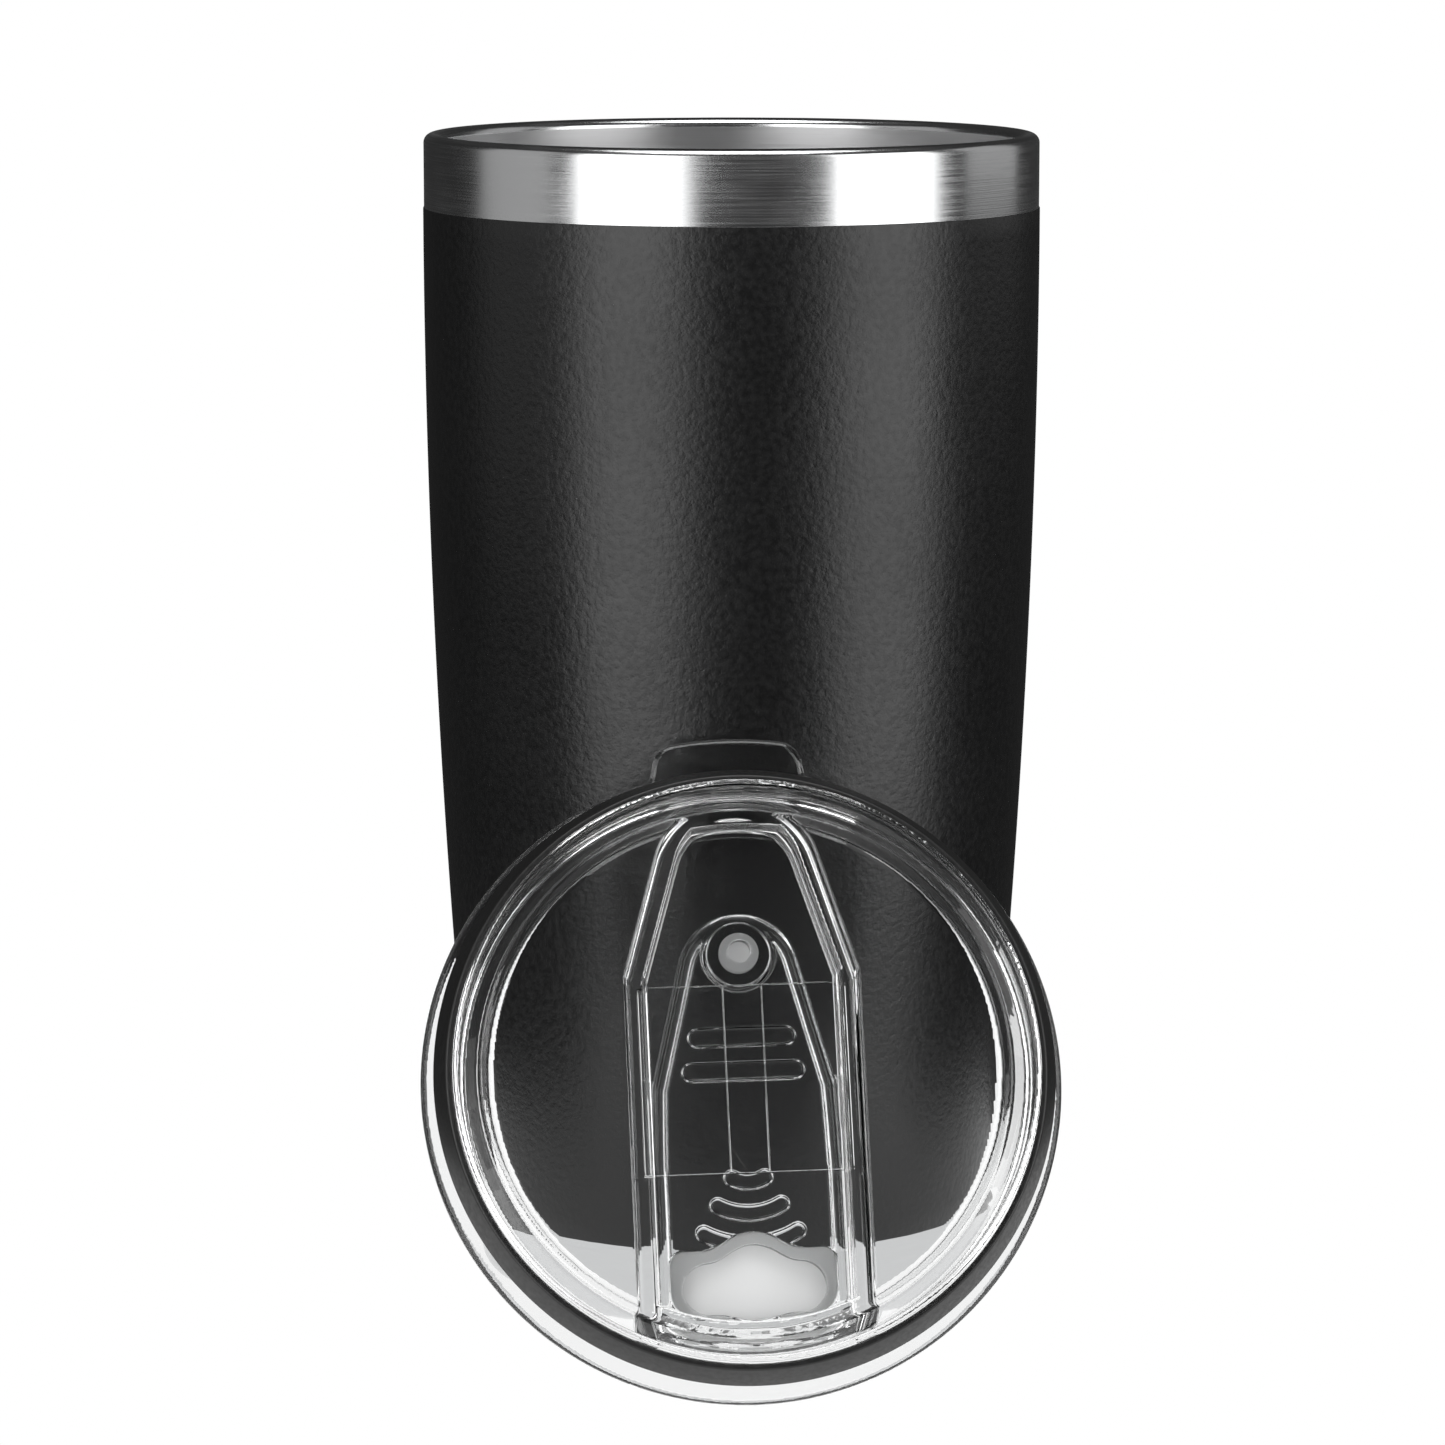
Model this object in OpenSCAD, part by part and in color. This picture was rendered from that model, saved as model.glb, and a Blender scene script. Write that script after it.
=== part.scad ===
// Insulated tumbler, double walled, with its clear slide lid leaning on it, underside to the front.
// The origin is on the ground at the middle of the foot. +Z is up and -Y is the front.

/* [Tumbler] */
// Height from the foot to the top of the lip
tumbler_h = 164.6; // [160:0.2:180]
// Outside diameter of the bare steel below the lip
top_d = 87.5; // [86:0.5:90]
// Outside diameter that the curved side aims at on the ground
foot_d = 72.2; // [70:0.1:74]
// Height of the straight stretch under the lip, above the curved side
straight_h = 12; // [11:0.5:14]
// Height of the bare steel band under the lip
top_band_h = 10.4; // [8:0.2:10.8]
// Height of the bare steel band above the foot
base_band_h = 10.4; // [9:0.2:14]
// Thickness of the steel sheet of both walls
steel_t = 0.5; // [0.5:0.1:0.8]
// Thickness of the powder coat, which stands proud of the bare steel
coat_t = 0.12; // [0.08:0.02:0.2]
// Width of the rolled lip, from the mouth to the outside
lip_w = 2.6; // [2.4:0.1:2.8]
// Depth of the straight mouth that the lid plugs into
mouth_h = 20; // [18:1:24]
// Height of the liner's floor above the ground
liner_floor_z = 12; // [11:0.5:14]
// Inside radius that the liner's side aims at on its floor
liner_floor_r = 32.4; // [31.8:0.1:32.6]

/* [Lid] */
// Diameter of the lid's flange, which lands on the lip
flange_d = 86.5; // [86:0.1:86.8]
// Thickness of the flange
flange_t = 2.2; // [2:0.1:2.4]
// Depth of the plug under the flange
plug_h = 12; // [11.8:0.1:12.2]
// Outside diameter of the plug, which drops into the mouth
plug_d = 79.8; // [79.6:0.1:80]
// Diameter of the recess at the top of the lid
recess_d = 78.8; // [78:0.2:79.2]
// Diameter of the recess at its floor
recess_floor_d = 68.6; // [68:0.2:69]
// Depth of the recess below the top of the flange
recess_h = 10.4; // [10:0.1:10.6]
// Free diameter of the gasket's lip, before the mouth squeezes it
gasket_d = 83.3; // [82.9:0.1:83.5]
// Width of the finger tab
tab_w = 20.4; // [19:0.2:22]
// How far the finger tab stands out past the flange
tab_reach = 4.4; // [4:0.2:6]

/* [Slider] */
// Width of the channel between its walls
channel_w = 26.1; // [26:0.1:26.4]
// Thickness of the channel walls
channel_wall = 2.3; // [2.3:0.05:2.6]
// Travel of the slider from shut to open
slide_travel = 12; // [12:0.1:12.4]
// Gap between the slider and each channel wall
slide_gap = 0.3; // [0.25:0.05:0.35]
// Width of the raised bead round the slider
bead_w = 1.8; // [1.4:0.1:2]
// Height of the raised bead above the slider's plate
bead_h = 1.2; // [0.8:0.1:1.4]

/* [Leaning lid] */
// Distance from the middle of the tumbler to the middle of the lid, from front to back
stand_y = 62.4; // [62.4:0.1:70]
// How far the lid stands to the right of the middle
stand_x = 1.4; // [0:0.2:3]
// How far the lid leans back from upright
lean = 22.4; // [21:0.1:22.4]
// How far the lid's underside is turned to the right
turn_out = 3.6; // [0:0.1:5]
// How far the finger tab is turned from the top of the leaning lid
roll = 1.3; // [0:0.1:6]

/* [Hidden] */
$fn = 96;
// Facets of a circle for the long curves of the sides, which are over a metre in radius
side_fn = 2400;
eps = 0.01;
slice_lap = 0.01;

// Outer shell: one arc from the straight stretch down to the foot
top_r = top_d / 2;
foot_r = foot_d / 2;
shoulder_z = tumbler_h - straight_h;
side_drop = top_r - foot_r;
side_r = round((shoulder_z * shoulder_z + side_drop * side_drop) / (2 * side_drop));
side_centre = [top_r - side_r, shoulder_z];
lip_r = lip_w / 2;
lip_centre = [top_r - lip_r, tumbler_h - lip_r];
// A cone with the same slope carries the side on from this level to the bend at the foot
foot_cone_z = 8;
foot_bend = 3;
foot_ring_w = 6;
foot_ring_r = floor(foot_r - foot_ring_w);

// Inner liner: straight at the mouth, then one arc down to its floor
mouth_r = top_r - lip_w;
mouth_z = tumbler_h - mouth_h;
liner_drop = mouth_r - liner_floor_r;
liner_reach = mouth_z - liner_floor_z;
liner_side_r = round((liner_reach * liner_reach + liner_drop * liner_drop) / (2 * liner_drop));
liner_centre = [mouth_r - liner_side_r, mouth_z];
liner_cone_z = 30;
liner_bend = 7;

// Foil between the walls, and the parts of the base
foil_t = 0.1;
foil_bottom_z = 30;
pan_z = 4.2;
pan_r = foot_ring_r;
pan_bend = 0.4;
cap_t = 0.6;
cap_z = 1.1;
ledge_w = 1.4;
seal_hole_r = 1;
seal_r = 4;
seal_h = 1.4;
getter_r = 5;
getter_t = 2;
clip_t = 0.3;
clip_w = 5;

// Lid levels, from the underside of the flange, which is level 0
flange_r = flange_d / 2;
flange_edge = flange_t / 2;
plug_r = plug_d / 2;
recess_r = recess_d / 2;
recess_floor_r = recess_floor_d / 2;
recess_floor_z = flange_t - recess_h;
recess_slope = (recess_r - recess_floor_r) / recess_h;
lid_wall = 1.8;
lid_under_z = recess_floor_z - lid_wall;
cone_gap = 2.2;
skirt_in_r = plug_r - 1.75;
groove_top_z = -8.9;
groove_bottom_z = -10.9;
gasket_lip_z = -6.6;
groove_r = plug_r - 1;
heel_r = plug_r - 0.65;
tab_r = flange_r + tab_reach;
tab_root = 3;
tab_root_r = recess_r + 1.5;

// Channel
channel_top_z = -0.4;
channel_floor_z = -4.2;
channel_under_z = -6;
channel_half = channel_w / 2;
arch_r = 8.2;
arch_y = 14.2;
shoulder_y = 13.4;
channel_end_y = -38;
hollow_r = 33.4;
slot_y = [-13.2, 12.2];
slot_z = [-3.4, -2.2];
slot_depth = 1;
witness = 0.12;

// Slider
plate_z = [-3.8, -1.4];
bead_z = plate_z[1] + bead_h;
slider_half = channel_half - slide_gap;
slider_waist = [channel_half - 0.75, -1];
slider_hip = [slider_half, -12];
slider_front_r = 34;
runner_y = [slot_y[0] + 0.2, slot_y[1] - 0.2 - slide_travel];
runner_z = [slot_z[0] + 0.1, slot_z[1] - 0.1];
runner_out = slot_depth - 0.15;
seat_gap = 0.05;
well_y = 16.9;
well_r = 4.45;
well_wall = 0.45;
well_floor_z = -2.8;
vent_r = 1.5;
vent_head_r = 2.65;
vent_foot_r = 3.4;
bar_w = 2.6;
bar_h = 0.5;
bars = [[5.75, 14.6], [1.1, 16.6]];
wave_y = -9.3;
wave_first_r = 4.6;
wave_step = 4.2;
wave_span = 29;
wave_w = 2.2;

// Drink hole: a wide pill with a bump on the side of the tab. Its seal is squarer, with the same bump.
drink_y = -28.45;
drink_w = 19;
drink_h = 6.9;
bump_h = 2.3;
bump_r = 4.9;
seal_half = 11.2;
seal_low = -4.05;
seal_high = 5.3;
seal_bump_r = 5.6;
seal_shelf_z = -2.6;

// Leaning pose of the lid
edge_r = flange_r - flange_edge;
stand_gap = 0.05;
lid_z = edge_r * cos(lean) + flange_edge * sin(lean) + flange_edge + stand_gap;

function unit(v) = v / norm(v);
function turn(a, b, c) = (b[0] - a[0]) * (c[1] - b[1]) - (b[1] - a[1]) * (c[0] - b[0]);
function half_angle(a, b, c) = acos(unit(a - b) * unit(c - b)) / 2;
function arc_centre(a, b, c, r) = b + unit(unit(a - b) + unit(c - b)) * r / sin(half_angle(a, b, c));
function arc_start(a, b, c, r) = b + unit(a - b) * r / tan(half_angle(a, b, c));
function before(pts, i) = pts[(i + len(pts) - 1) % len(pts)];
function after(pts, i) = pts[(i + 1) % len(pts)];
// Where a line from point p touches a circle, on the +X side
function touch(centre, r, p) =
    let (d = p - centre, away = atan2(d[1], d[0]), open = acos(r / norm(d)))
    centre + r * [cos(away + open), sin(away + open)];
// Radius and slope, at level z, of a side that is an arc round a centre
function arc_r_at(centre, r, z) = centre[0] + sqrt(r * r - pow(centre[1] - z, 2));
function arc_slope_at(centre, r, z) = (centre[1] - z) / sqrt(r * r - pow(centre[1] - z, 2));
function recess_r_at(z) = recess_r + (z - flange_t) * recess_slope;

// The slice of a disc between two points on its edge; with a lap it is a hair wider
module slice(centre, r, p, q, lap = 0) {
    mid = unit((p + q) / 2 - centre);
    start = p - centre + lap * (p - q);
    stop = q - centre + lap * (q - p);
    intersection() {
        translate(centre) circle(r = r);
        polygon([centre, centre + 3 * start, centre + 4 * r * mid, centre + 3 * stop]);
    }
}

// A counterclockwise outline with each corner rounded by its own radius
module rounded(pts, radii, lap = 0) {
    corners = [for (i = [0:len(pts) - 1]) if (radii[i] > 0) i];
    difference() {
        union() {
            polygon([
                for (i = [0:len(pts) - 1])
                    let (a = before(pts, i), b = pts[i], c = after(pts, i), r = radii[i])
                    each r == 0 ? [b] : [arc_start(a, b, c, r), arc_centre(a, b, c, r), arc_start(c, b, a, r)]
            ]);
            for (i = corners)
                if (turn(before(pts, i), pts[i], after(pts, i)) > 0) corner_slice(pts, i, radii[i], lap);
        }
        for (i = corners)
            if (turn(before(pts, i), pts[i], after(pts, i)) < 0) corner_slice(pts, i, radii[i], lap);
    }
}

module corner_slice(pts, i, r, lap) {
    a = before(pts, i);
    b = pts[i];
    c = after(pts, i);
    slice(arc_centre(a, b, c, r), r, arc_start(a, b, c, r), arc_start(c, b, a, r), lap);
}

// A strip of sheet bent round a centre, from angle a0 to a1
module bent_sheet(centre, r_in, r_out, a0, a1) {
    mid = (a0 + a1) / 2;
    reach = 2 * r_out;
    translate(centre) intersection() {
        difference() {
            circle(r = r_out);
            circle(r = r_in);
        }
        polygon([
            [0, 0], reach * [cos(a0), sin(a0)], reach * [cos(mid), sin(mid)], reach * [cos(a1), sin(a1)]
        ]);
    }
}

// Section of a curved side of sheet between two heights
module side_band(centre, r_in, r_out, z0, z1) {
    intersection() {
        translate(centre) difference() {
            circle(r = r_out, $fn = side_fn);
            circle(r = r_in, $fn = side_fn);
        }
        translate([0, z0]) square([top_r + 1, z1 - z0]);
    }
}

// Half section of a solid cup: a cone that narrows down to a flat floor, with a rounded corner
module cup_section(r_top, z_top, slope, z_floor, bend) {
    r_floor = r_top - (z_top - z_floor) * slope;
    rounded([[0, z_floor], [r_floor, z_floor], [r_top, z_top], [0, z_top]], [0, bend, 0, 0], slice_lap);
}

// The same cup in sheet steel of one thickness, inside the given outer surface
module cup_sheet(r_top, r_top_in, z_top, slope, z_floor, bend) {
    difference() {
        cup_section(r_top, z_top, slope, z_floor, bend);
        cup_section(r_top_in + slope, z_top + 1, slope, z_floor + steel_t, bend - steel_t);
    }
}

// ---- Tumbler ----

module outer_shell() {
    joint_r = arc_r_at(side_centre, side_r, foot_cone_z);
    joint_in_r = arc_r_at(side_centre, side_r - steel_t, foot_cone_z);
    slope = arc_slope_at(side_centre, side_r, foot_cone_z);
    color("silver") rotate_extrude($fn = 180) {
        side_band(side_centre, side_r - steel_t, side_r, foot_cone_z, shoulder_z);
        translate([top_r - steel_t, shoulder_z]) square([steel_t, lip_centre[1] - shoulder_z]);
        bent_sheet(lip_centre, lip_r - steel_t, lip_r, 0, 180);
        difference() {
            cup_sheet(joint_r, joint_in_r, foot_cone_z, slope, 0, foot_bend);
            translate([0, -1]) square([foot_ring_r, 3]);
        }
    }
}

module inner_liner() {
    out_r = liner_side_r + steel_t;
    joint_r = arc_r_at(liner_centre, out_r, liner_cone_z);
    joint_in_r = arc_r_at(liner_centre, liner_side_r, liner_cone_z);
    slope = arc_slope_at(liner_centre, liner_side_r, liner_cone_z);
    color("gainsboro") rotate_extrude($fn = 180) {
        translate([mouth_r, mouth_z]) square([steel_t, lip_centre[1] - mouth_z]);
        side_band(liner_centre, liner_side_r, out_r, liner_cone_z, mouth_z);
        cup_sheet(joint_r, joint_in_r, liner_cone_z, slope, liner_floor_z - steel_t, liner_bend + steel_t);
    }
}

module powder_coat() {
    coat_top = tumbler_h - top_band_h;
    color([0.06, 0.06, 0.065]) rotate_extrude($fn = 180) {
        side_band(side_centre, side_r, side_r + coat_t, base_band_h, shoulder_z);
        translate([top_r, shoulder_z]) square([coat_t, coat_top - shoulder_z]);
    }
}

// Pan welded inside the foot ring, with a ledge for the cap and the hole that the air was drawn out through
module outer_base() {
    ledge_z = cap_z + cap_t;
    color("darkgray") rotate_extrude($fn = 128) rounded(
        [
            [pan_r, 0], [pan_r, pan_z + steel_t], [seal_hole_r, pan_z + steel_t], [seal_hole_r, pan_z],
            [pan_r - ledge_w, pan_z], [pan_r - ledge_w, ledge_z], [pan_r - steel_t, ledge_z], [pan_r - steel_t, 0]
        ],
        [0, pan_bend, 0, 0, 0.6, 0.2, 0, 0.3]
    );
}

// Thin brushed disc that covers the seal
module base_cap() {
    cap_r = pan_r - steel_t - 0.1;
    color("lightgray") rotate_extrude($fn = 128) rounded(
        [[0, cap_z], [cap_r, cap_z], [cap_r, cap_z + cap_t], [0, cap_z + cap_t]], [0, 0.25, 0.15, 0]
    );
}

// Glass bead, melted into the hole after the air is drawn out
module vacuum_seal() {
    bead_r = (seal_r * seal_r + seal_h * seal_h) / (2 * seal_h);
    color("darkseagreen") rotate_extrude($fn = 64) {
        intersection() {
            translate([0, pan_z - seal_h + bead_r]) circle(r = bead_r);
            translate([0, pan_z - seal_h]) square([seal_r, seal_h]);
        }
        translate([0, pan_z]) square([seal_hole_r, steel_t]);
    }
}

// Foil wrapped round the outside of the liner
module copper_foil() {
    foil_in = liner_side_r + steel_t;
    color("peru") rotate_extrude($fn = 180)
        side_band(liner_centre, foil_in, foil_in + foil_t, foil_bottom_z, mouth_z - 6);
}

// Pellet that soaks up the last of the air, held on the pan by a clip
module getter() {
    color("dimgray") translate([getter_x(), 0, pan_z + steel_t]) cylinder(r = getter_r, h = getter_t);
}

module getter_clip() {
    half = getter_r + clip_t + 0.1;
    top = getter_t + clip_t;
    color("gray") translate([getter_x(), clip_w / 2, pan_z + steel_t]) rotate([90, 0, 0])
        linear_extrude(clip_w) polygon([
            [-half - 3, 0], [-half + clip_t, 0], [-half + clip_t, getter_t], [half - clip_t, getter_t],
            [half - clip_t, 0], [half + 3, 0], [half + 3, clip_t], [half, clip_t], [half, top],
            [-half, top], [-half, clip_t], [-half - 3, clip_t]
        ]);
}

function getter_x() = 15;

// ---- Lid ----

// Places a lid part, drawn with its flange's underside at level 0 and its tab toward +Y, on the ground.
// The lid's underside comes to the front, and its tab to the top.
module stood() {
    translate([stand_x, -stand_y, lid_z]) rotate([90 - lean, 0, turn_out]) rotate([0, 180, roll]) children();
}

// Half section of the flange, the plug's skirt, the sloping recess wall and the floor
module lid_section() {
    cone_foot_r = recess_floor_r + cone_gap + (lid_under_z - recess_floor_z) * recess_slope;
    apex_z = recess_floor_z + (skirt_in_r - recess_floor_r - cone_gap) / recess_slope;
    rounded(
        [
            [0, lid_under_z], [cone_foot_r, lid_under_z], [skirt_in_r, apex_z], [skirt_in_r, -plug_h],
            [heel_r, -plug_h], [heel_r, groove_bottom_z], [groove_r, groove_bottom_z], [groove_r, groove_top_z],
            [plug_r, groove_top_z], [plug_r, 0], [flange_r, 0], [flange_r, flange_t],
            [recess_r, flange_t], [recess_floor_r, recess_floor_z], [0, recess_floor_z]
        ],
        [0, 1, 0.3, 0.4, 0.5, 0.2, 0, 0, 0, 0.4, flange_edge - eps, flange_edge - eps, 0.8, 1.2, 0]
    );
}

// The channel's outline: an arch at the tab end, then sides that spread to the full width.
// grow is added all round, and y_end is where the straight sides stop.
module channel_outline(grow, y_end) {
    centre = [0, arch_y + slide_travel + 0.4];
    r = arch_r + 0.4 + grow;
    hip = [channel_half + grow, shoulder_y];
    t = touch(centre, r, hip);
    polygon([
        [-hip[0], y_end], [hip[0], y_end], hip, t, centre + [0, 2], [-t[0], t[1]], [-hip[0], hip[1]]
    ]);
    slice(centre, r, t, [-t[0], t[1]]);
}

// The inside of the recess, down to level z0, with its side wall moved outward
module recess_space(z0, out) {
    rotate_extrude($fn = 180) polygon([
        [0, z0], [recess_r_at(z0) + out, z0], [recess_r_at(channel_top_z) + out, channel_top_z], [0, channel_top_z]
    ]);
}

// The drink hole; grow is added all round
module drink_outline(grow) {
    r = drink_h / 2 + grow;
    half = drink_w / 2 - drink_h / 2;
    for (side = [-1, 1]) translate([side * half, 0]) circle(r = r);
    translate([-half, -r]) square([2 * half, 2 * r]);
    translate([0, drink_h / 2 + bump_h - bump_r]) circle(r = bump_r + grow);
}

// The border of the drink hole's seal; gap is taken off all round
module seal_outline(gap) {
    x = seal_half - gap;
    low = seal_low + gap;
    high = seal_high - gap;
    rounded([[-x, low], [x, low], [x, high], [-x, high]], [4.2, 4.2, 2, 2]);
    translate([0, seal_high + bump_h - seal_bump_r]) circle(r = seal_bump_r - gap);
}

module finger_tab() {
    half = tab_w / 2;
    root_y = sqrt(edge_r * edge_r - pow(half + tab_root, 2));
    right = [[half + tab_root, root_y - 6], [half + tab_root, root_y], [half + 0.8, root_y + 1.4],
        [half, root_y + 3], [half - 1, tab_r + 2]];
    intersection() {
        linear_extrude(flange_t) polygon([
            each right, for (i = [len(right) - 1:-1:0]) [-right[i][0], right[i][1]]
        ]);
        rotate_extrude($fn = 180) rounded(
            [[tab_root_r, 0], [tab_r, 0], [tab_r, flange_t], [tab_root_r, flange_t]], [0, 0.8, 0.8, 0]
        );
    }
}

module channel_walls() {
    intersection() {
        translate([0, 0, lid_under_z]) linear_extrude(channel_top_z - lid_under_z)
            channel_outline(channel_wall, channel_end_y);
        recess_space(lid_under_z, 1);
    }
}

// What is cut out of the lid: the channel, the hollow under it, the runner slots and the two holes
module channel_cuts() {
    intersection() {
        translate([0, 0, channel_floor_z]) linear_extrude(6) channel_outline(0, channel_end_y);
        recess_space(channel_floor_z - 1, 0);
    }
    translate([0, 0, -plug_h - 1]) linear_extrude(channel_under_z + plug_h + 1) intersection() {
        channel_outline(0, channel_end_y);
        circle(r = hollow_r);
    }
    for (side = [-1, 1]) {
        near = side > 0 ? channel_half - 1 : -channel_half - slot_depth;
        translate([near, slot_y[0], slot_z[0]])
            cube([1 + slot_depth, slot_y[1] - slot_y[0], slot_z[1] - slot_z[0]]);
    }
    translate([0, drink_y, channel_under_z - 1]) linear_extrude(4) drink_outline(0);
    translate([0, well_y, channel_under_z - 1]) cylinder(r = vent_r, h = 4);
    translate([-channel_half, slot_y[0], channel_under_z - 1])
        cube([channel_w, slot_y[1] - slot_y[0], 1 + witness]);
}

module lid_body() {
    color([0.85, 0.9, 0.92, 0.35]) stood() {
        difference() {
            union() {
                rotate_extrude($fn = 180) lid_section();
                finger_tab();
                channel_walls();
            }
            channel_cuts();
        }
    }
}

// Ring in the plug's groove, with a lip that flares up and out to meet the mouth
module lid_gasket() {
    color([0.04, 0.04, 0.04]) stood() rotate_extrude($fn = 180) polygon([
        [groove_r + seat_gap, groove_bottom_z + seat_gap], [plug_r - 0.05, groove_bottom_z + seat_gap],
        [plug_r + 0.15, groove_bottom_z + seat_gap + 0.15], [gasket_d / 2, gasket_lip_z],
        [gasket_d / 2 - 0.45, gasket_lip_z + 0.3], [plug_r + 0.05, groove_top_z - seat_gap],
        [groove_r + seat_gap, groove_top_z - seat_gap]
    ]);
}

// ---- Slider ----

// Outline of the slider, drawn shut; inset is taken off all round
module slider_outline(inset) {
    centre = [0, arch_y];
    r = arch_r - inset;
    waist = slider_waist - [inset, 0];
    hip = slider_hip - [inset, 0];
    t = touch(centre, r, waist);
    front_r = slider_front_r - inset;
    front_y = -sqrt(front_r * front_r - hip[0] * hip[0]);
    polygon([
        [-hip[0], front_y], [0, front_y], [hip[0], front_y], hip, waist, t, centre + [0, 2],
        [-t[0], t[1]], [-waist[0], waist[1]], [-hip[0], hip[1]]
    ]);
    slice(centre, r, t, [-t[0], t[1]]);
    intersection() {
        circle(r = front_r);
        translate([-hip[0], -front_r - 1]) square([2 * hip[0], front_r]);
    }
}

// Rounded bars and curved ridges that give the thumb its grip
module grip_marks() {
    for (bar = bars) translate([0, bar[0]]) {
        square([bar[1] - bar_w, bar_w], center = true);
        for (side = [-1, 1]) translate([side * (bar[1] - bar_w) / 2, 0]) circle(d = bar_w);
    }
    for (k = [0:2]) translate([0, wave_y]) {
        r = wave_first_r + k * wave_step;
        bent_sheet([0, 0], r - wave_w / 2, r + wave_w / 2, -90 - wave_span, -90 + wave_span);
        for (side = [-1, 1]) translate(r * [sin(side * wave_span), -cos(wave_span)]) circle(d = wave_w);
    }
}

module slider() {
    color([0.88, 0.92, 0.95, 0.4]) stood() difference() {
        union() {
            translate([0, 0, plate_z[0]]) linear_extrude(plate_z[1] - plate_z[0]) slider_outline(0);
            translate([0, 0, plate_z[1] - 0.5]) linear_extrude(bead_h + 0.5) difference() {
                slider_outline(0);
                slider_outline(bead_w);
            }
            translate([0, 0, plate_z[1] - 0.5]) linear_extrude(bar_h + 0.5) grip_marks();
            translate([0, well_y, plate_z[0]]) cylinder(r = well_r + well_wall, h = bead_z - plate_z[0]);
            for (side = [-1, 1]) {
                near = side > 0 ? slider_half - 1 : -channel_half - runner_out;
                translate([near, runner_y[0], runner_z[0]])
                    cube([channel_half + runner_out - slider_half + 1, runner_y[1] - runner_y[0],
                        runner_z[1] - runner_z[0]]);
            }
        }
        translate([0, well_y, well_floor_z]) cylinder(r = well_r, h = 4);
        translate([0, well_y, plate_z[0] - 1]) cylinder(r = vent_r, h = 4);
        translate([0, drink_y, plate_z[0] - 1]) linear_extrude(4) drink_outline(0);
        translate([0, drink_y, plate_z[0] - 1]) linear_extrude(seal_shelf_z - plate_z[0] + 1)
            seal_outline(0);
    }
}

// Soft pad that shuts the drink hole; its middle shows through the slider
module drink_seal() {
    bottom = channel_floor_z + seat_gap;
    color([0.82, 0.83, 0.83]) stood() translate([0, drink_y, 0]) {
        translate([0, 0, bottom]) linear_extrude(seal_shelf_z - seat_gap - bottom) seal_outline(seat_gap);
        translate([0, 0, bottom]) linear_extrude(plate_z[1] - 0.1 - bottom) drink_outline(-seat_gap);
    }
}

// Soft plug pushed through the floor of the well, which shuts the vent
module vent_seal() {
    bottom = channel_floor_z + seat_gap;
    color([0.82, 0.83, 0.83]) stood() translate([0, well_y, 0]) rotate_extrude($fn = 64) rounded(
        [
            [0, bottom], [vent_foot_r, bottom], [vent_foot_r, plate_z[0]], [vent_r, plate_z[0]],
            [vent_r, well_floor_z], [vent_head_r, well_floor_z], [vent_head_r, well_floor_z + 0.8],
            [0, well_floor_z + 0.8]
        ],
        [0, 0.1, 0, 0, 0, 0, 0.3, 0]
    );
}

outer_shell();
inner_liner();
powder_coat();
outer_base();
base_cap();
vacuum_seal();
copper_foil();
getter();
getter_clip();
lid_body();
lid_gasket();
slider();
drink_seal();
vent_seal();
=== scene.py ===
"""Looks for the insulated tumbler with its slide lid. Lengths are in metres, in the CAD frame."""
import math

import bmesh
import bpy
import numpy as np
from mathutils import Matrix, Vector


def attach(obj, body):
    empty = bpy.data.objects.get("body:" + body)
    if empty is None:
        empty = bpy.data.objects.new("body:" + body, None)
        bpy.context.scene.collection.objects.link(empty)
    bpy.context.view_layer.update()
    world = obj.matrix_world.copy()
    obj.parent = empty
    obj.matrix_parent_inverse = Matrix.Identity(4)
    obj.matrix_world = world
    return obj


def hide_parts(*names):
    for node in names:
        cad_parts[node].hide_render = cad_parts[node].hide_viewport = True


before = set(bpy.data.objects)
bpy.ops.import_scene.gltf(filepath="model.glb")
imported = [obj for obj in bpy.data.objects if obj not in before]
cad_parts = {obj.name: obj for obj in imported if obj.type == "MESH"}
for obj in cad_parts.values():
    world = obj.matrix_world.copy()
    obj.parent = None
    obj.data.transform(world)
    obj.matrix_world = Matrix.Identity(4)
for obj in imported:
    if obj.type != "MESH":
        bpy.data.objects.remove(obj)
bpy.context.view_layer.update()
MM = 0.001
SEGMENTS = 256
SHARP, FLAT = math.radians(30.0), math.radians(0.4)


# ---- Shapes ----

def arc(centre, radius, start, stop, steps):
    """Points on an arc between two angles in degrees, in (radius, height) millimetres."""
    angles = [math.radians(start + (stop - start) * k / steps) for k in range(steps + 1)]
    return [(centre[0] + radius * math.cos(a), centre[1] + radius * math.sin(a)) for a in angles]


def rounded(points, radii, steps=6):
    """A closed outline in millimetres with each corner rounded by its own radius."""
    out = []
    count = len(points)
    for i in range(count):
        a, b, c = (Vector(points[(i + k) % count]) for k in (-1, 0, 1))
        radius = radii[i]
        if radius <= 0:
            out.append(tuple(b))
            continue
        u, w = (a - b).normalized(), (c - b).normalized()
        half = u.angle(w) / 2
        reach = radius / math.tan(half)
        limit = 0.49 * min((a - b).length, (c - b).length)
        if reach > limit:
            radius, reach = radius * limit / reach, limit
        middle = b + (u + w).normalized() * radius / math.sin(half)
        p, q = b + u * reach - middle, b + w * reach - middle
        turn = math.atan2(p.x * q.y - p.y * q.x, p.dot(q))
        for k in range(steps + 1):
            a_k = turn * k / steps
            out.append((middle.x + p.x * math.cos(a_k) - p.y * math.sin(a_k),
                        middle.y + p.x * math.sin(a_k) + p.y * math.cos(a_k)))
    return out


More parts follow.
